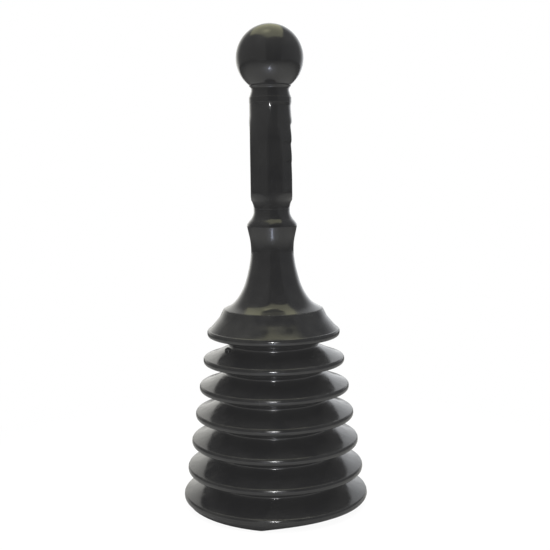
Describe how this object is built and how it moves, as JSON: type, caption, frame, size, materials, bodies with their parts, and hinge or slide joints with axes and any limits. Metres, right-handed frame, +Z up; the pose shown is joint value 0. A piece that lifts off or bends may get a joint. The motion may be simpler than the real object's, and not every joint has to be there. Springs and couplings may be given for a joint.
{
  "type": "bellows toilet plunger",
  "caption": "Black bellows toilet plunger: ball-topped grip on a flared bell, stacked accordion rings that collapse, open round mouth, and a small air-release valve.",
  "frame": {"origin": "centre of the round mouth, in the plane of the rim that stands on the floor", "axes": "+Z up along the handle, towards the ball knob; -Y is the front; +X is the side of the grip with the finger hollows"},
  "size_m": [0.165, 0.165, 0.4229],
  "materials": {
    "handle_plastic": "glossy black polyethylene",
    "bellows_plastic": "glossy black flexible polyethylene",
    "valve_plastic": "glossy black polypropylene"
  },
  "bodies": {
    "base": {"crest_ring_7": "bellows_plastic", "mouth_skirt": "bellows_plastic"},
    "fold_6": {"fold_6": "bellows_plastic"},
    "ring_6": {"crest_ring_6": "bellows_plastic"},
    "fold_5": {"fold_5": "bellows_plastic"},
    "ring_5": {"crest_ring_5": "bellows_plastic"},
    "fold_4": {"fold_4": "bellows_plastic"},
    "ring_4": {"crest_ring_4": "bellows_plastic"},
    "fold_3": {"fold_3": "bellows_plastic"},
    "ring_3": {"crest_ring_3": "bellows_plastic"},
    "fold_2": {"fold_2": "bellows_plastic"},
    "ring_2": {"crest_ring_2": "bellows_plastic"},
    "fold_1": {"fold_1": "bellows_plastic"},
    "head": {"crest_ring_1": "bellows_plastic", "bell": "bellows_plastic", "neck": "handle_plastic", "grip": "handle_plastic", "ball_knob": "handle_plastic"},
    "valve": {"valve_seat": "valve_plastic"},
    "poppet": {"valve_poppet": "valve_plastic", "valve_clip": "valve_plastic"}
  },
  "joints": [
    {"name": "lean_6", "type": "hinge", "parent": "base", "child": "fold_6", "pos_m": [0, 0, 0.0085], "axis": [0, 1, 0], "range_deg": [-1.5, 1.5], "stiffness_Nm_per_rad": 25},
    {"name": "press_6", "type": "slide", "parent": "fold_6", "child": "ring_6", "axis": [0, 0, -1], "range_m": [0, 0.012], "stiffness_N_per_m": 6000, "deforming": ["fold_6"]},
    {"name": "lean_5", "type": "hinge", "parent": "ring_6", "child": "fold_5", "pos_m": [0, 0, 0.0328], "axis": [0, 1, 0], "range_deg": [-1.5, 1.5], "stiffness_Nm_per_rad": 25},
    {"name": "press_5", "type": "slide", "parent": "fold_5", "child": "ring_5", "axis": [0, 0, -1], "range_m": [0, 0.012], "stiffness_N_per_m": 6000, "deforming": ["fold_5"]},
    {"name": "lean_4", "type": "hinge", "parent": "ring_5", "child": "fold_4", "pos_m": [0, 0, 0.0571], "axis": [0, 1, 0], "range_deg": [-1.5, 1.5], "stiffness_Nm_per_rad": 25},
    {"name": "press_4", "type": "slide", "parent": "fold_4", "child": "ring_4", "axis": [0, 0, -1], "range_m": [0, 0.012], "stiffness_N_per_m": 6000, "deforming": ["fold_4"]},
    {"name": "lean_3", "type": "hinge", "parent": "ring_4", "child": "fold_3", "pos_m": [0, 0, 0.0814], "axis": [0, 1, 0], "range_deg": [-1.5, 1.5], "stiffness_Nm_per_rad": 25},
    {"name": "press_3", "type": "slide", "parent": "fold_3", "child": "ring_3", "axis": [0, 0, -1], "range_m": [0, 0.012], "stiffness_N_per_m": 6000, "deforming": ["fold_3"]},
    {"name": "lean_2", "type": "hinge", "parent": "ring_3", "child": "fold_2", "pos_m": [0, 0, 0.1057], "axis": [0, 1, 0], "range_deg": [-1.5, 1.5], "stiffness_Nm_per_rad": 25},
    {"name": "press_2", "type": "slide", "parent": "fold_2", "child": "ring_2", "axis": [0, 0, -1], "range_m": [0, 0.012], "stiffness_N_per_m": 6000, "deforming": ["fold_2"]},
    {"name": "lean_1", "type": "hinge", "parent": "ring_2", "child": "fold_1", "pos_m": [0, 0, 0.13], "axis": [0, 1, 0], "range_deg": [-1.5, 1.5], "stiffness_Nm_per_rad": 25},
    {"name": "press_1", "type": "slide", "parent": "fold_1", "child": "head", "axis": [0, 0, -1], "range_m": [0, 0.012], "stiffness_N_per_m": 6000, "deforming": ["fold_1"]},
    {"name": "valve_ride", "type": "slide", "parent": "fold_1", "child": "valve", "axis": [0, 0, -1], "range_m": [0, 0.00522]},
    {"name": "valve_lift", "type": "slide", "parent": "valve", "child": "poppet", "axis": [-0.3889, -0.1493, 0.9091], "range_m": [0, 0.0006]}
  ],
  "couplings": [
    {"joint": "lean_5", "follows": "lean_6", "ratio": 1},
    {"joint": "press_5", "follows": "press_6", "ratio": 1},
    {"joint": "lean_4", "follows": "lean_6", "ratio": 1},
    {"joint": "press_4", "follows": "press_6", "ratio": 1},
    {"joint": "lean_3", "follows": "lean_6", "ratio": 1},
    {"joint": "press_3", "follows": "press_6", "ratio": 1},
    {"joint": "lean_2", "follows": "lean_6", "ratio": 1},
    {"joint": "press_2", "follows": "press_6", "ratio": 1},
    {"joint": "lean_1", "follows": "lean_6", "ratio": 1},
    {"joint": "press_1", "follows": "press_6", "ratio": 1},
    {"joint": "valve_ride", "follows": "press_6", "ratio": 0.435}
  ]
}
